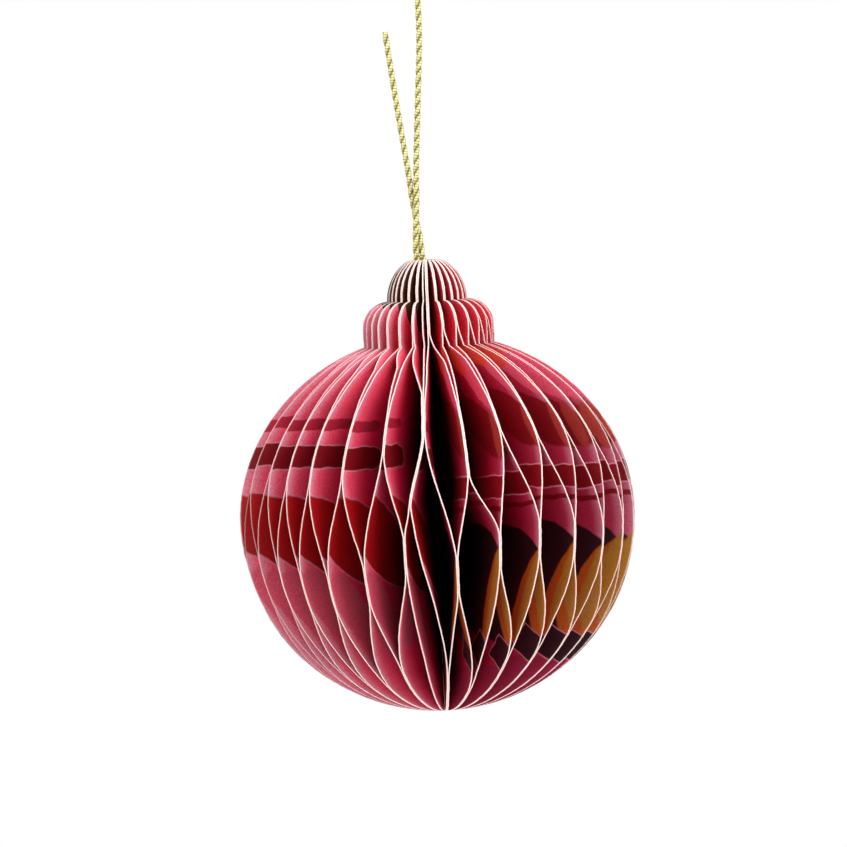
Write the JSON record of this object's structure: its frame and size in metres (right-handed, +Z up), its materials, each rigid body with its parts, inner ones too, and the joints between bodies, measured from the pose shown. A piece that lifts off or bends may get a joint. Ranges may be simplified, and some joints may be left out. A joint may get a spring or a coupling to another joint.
{
  "type": "honeycomb paper bauble",
  "caption": "Round honeycomb bauble of printed paper leaves glued in alternating rows, with a small cap, hung on a gold cord with a loop.",
  "frame": {"origin": "inside of the cord's hanging loop, on the bauble's axis", "axes": "+Z up along the bauble's axis, -Y out of the side where the closing seam is"},
  "size_m": [0.0699, 0.0699, 0.147],
  "materials": {
    "printed_paper": "satin",
    "gold_cord": "satin"
  },
  "bodies": {
    "root": {"paper_leaf_01": "printed_paper", "paper_leaf_02": "printed_paper", "paper_leaf_03": "printed_paper", "paper_leaf_04": "printed_paper", "paper_leaf_05": "printed_paper", "paper_leaf_06": "printed_paper", "paper_leaf_07": "printed_paper", "paper_leaf_08": "printed_paper", "paper_leaf_09": "printed_paper", "paper_leaf_10": "printed_paper", "paper_leaf_11": "printed_paper", "paper_leaf_12": "printed_paper", "paper_leaf_13": "printed_paper", "paper_leaf_14": "printed_paper", "paper_leaf_15": "printed_paper", "paper_leaf_16": "printed_paper", "paper_leaf_17": "printed_paper", "paper_leaf_18": "printed_paper", "paper_leaf_19": "printed_paper", "paper_leaf_20": "printed_paper", "paper_leaf_21": "printed_paper", "paper_leaf_22": "printed_paper", "paper_leaf_23": "printed_paper", "paper_leaf_24": "printed_paper", "paper_leaf_25": "printed_paper", "paper_leaf_26": "printed_paper", "paper_leaf_27": "printed_paper", "paper_leaf_28": "printed_paper", "paper_leaf_29": "printed_paper", "paper_leaf_30": "printed_paper", "paper_leaf_31": "printed_paper", "paper_leaf_32": "printed_paper", "paper_leaf_33": "printed_paper", "paper_leaf_34": "printed_paper", "paper_leaf_35": "printed_paper", "paper_leaf_36": "printed_paper", "paper_leaf_37": "printed_paper", "paper_leaf_38": "printed_paper", "paper_leaf_39": "printed_paper", "paper_leaf_40": "printed_paper", "paper_leaf_41": "printed_paper", "paper_leaf_42": "printed_paper", "paper_leaf_43": "printed_paper", "paper_leaf_44": "printed_paper", "paper_leaf_45": "printed_paper", "paper_leaf_46": "printed_paper", "paper_leaf_47": "printed_paper", "paper_leaf_48": "printed_paper", "paper_leaf_49": "printed_paper", "paper_leaf_50": "printed_paper", "paper_leaf_51": "printed_paper", "paper_leaf_52": "printed_paper", "paper_leaf_53": "printed_paper", "paper_leaf_54": "printed_paper", "paper_leaf_55": "printed_paper", "paper_leaf_56": "printed_paper", "paper_leaf_57": "printed_paper", "hanging_cord": "gold_cord", "cord_tail": "gold_cord", "anchor_knot": "gold_cord"}
  },
  "joints": []
}
